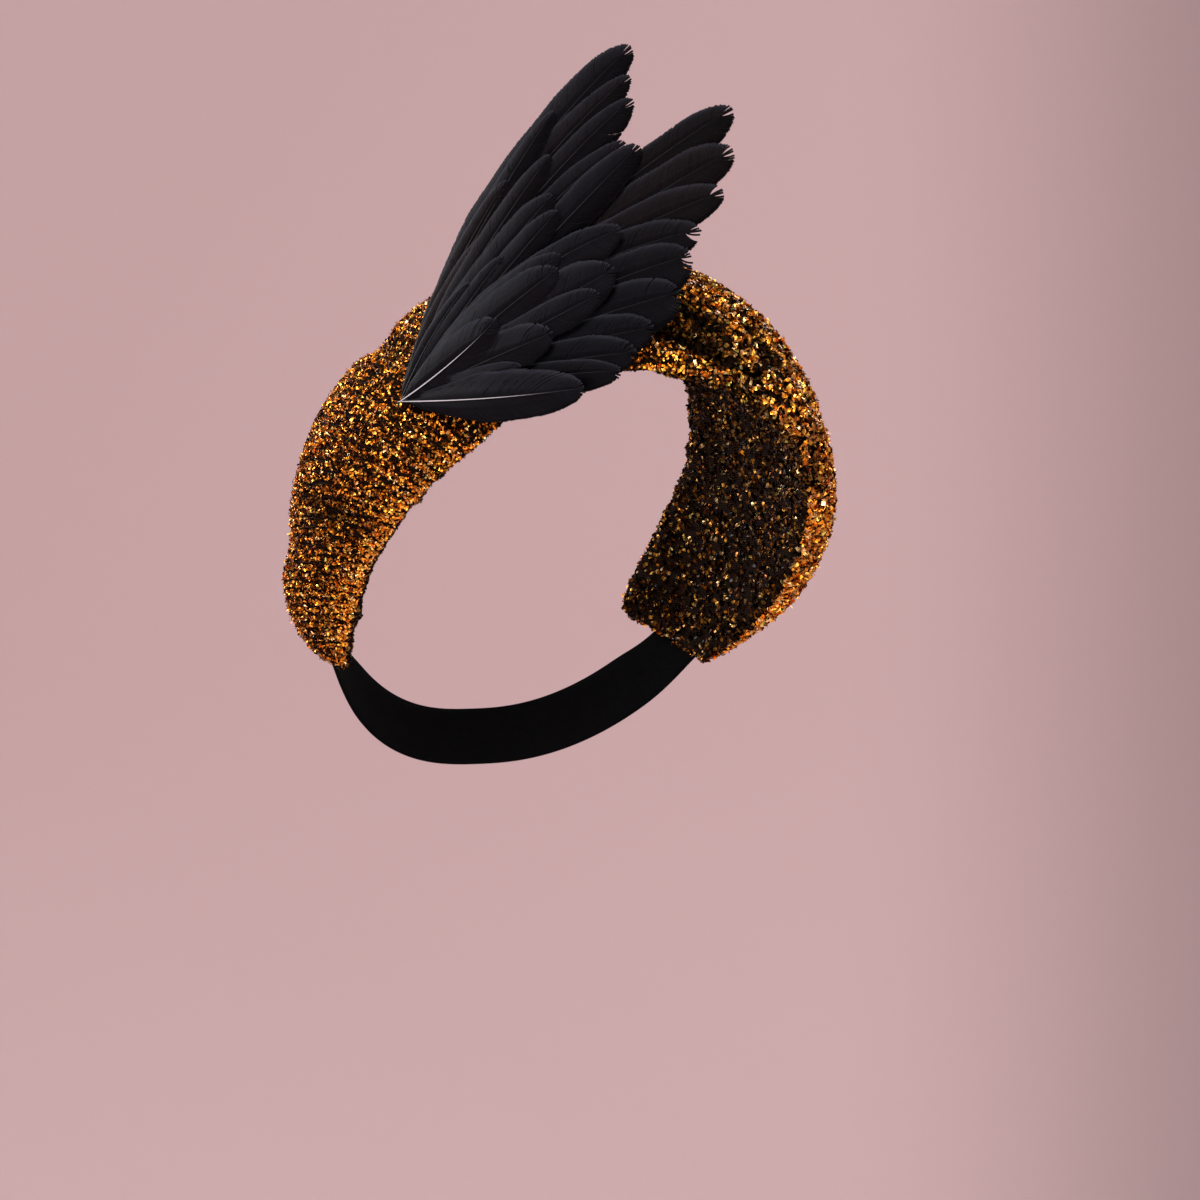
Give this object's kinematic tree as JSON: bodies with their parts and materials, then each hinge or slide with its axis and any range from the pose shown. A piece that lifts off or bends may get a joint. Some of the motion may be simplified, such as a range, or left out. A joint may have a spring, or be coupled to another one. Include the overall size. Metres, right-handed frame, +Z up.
{
  "type": "padded headband fascinator",
  "caption": "Wide padded headband of gold tinsel knit with black feather wings at the wearer's right and an elastic round the nape.",
  "frame": {"origin": "the crown seat, where the inside of the band rests on the top of the head", "axes": "+Z up out of the crown, the wearer faces -Y, the wearer's left is +X and the wings are on -X"},
  "size_m": [0.1954, 0.1652, 0.2503],
  "materials": {
    "tinsel_knit": "metallic foil loops on a dark ground",
    "elastic": "matte woven elastic",
    "feather": "satin black barbs"
  },
  "bodies": {
    "root": {"padded_band": "tinsel_knit", "nape_elastic": "elastic", "right_flight_feathers": "feather", "left_flight_feathers": "feather", "left_coverts": "feather", "right_coverts": "feather"}
  },
  "joints": []
}
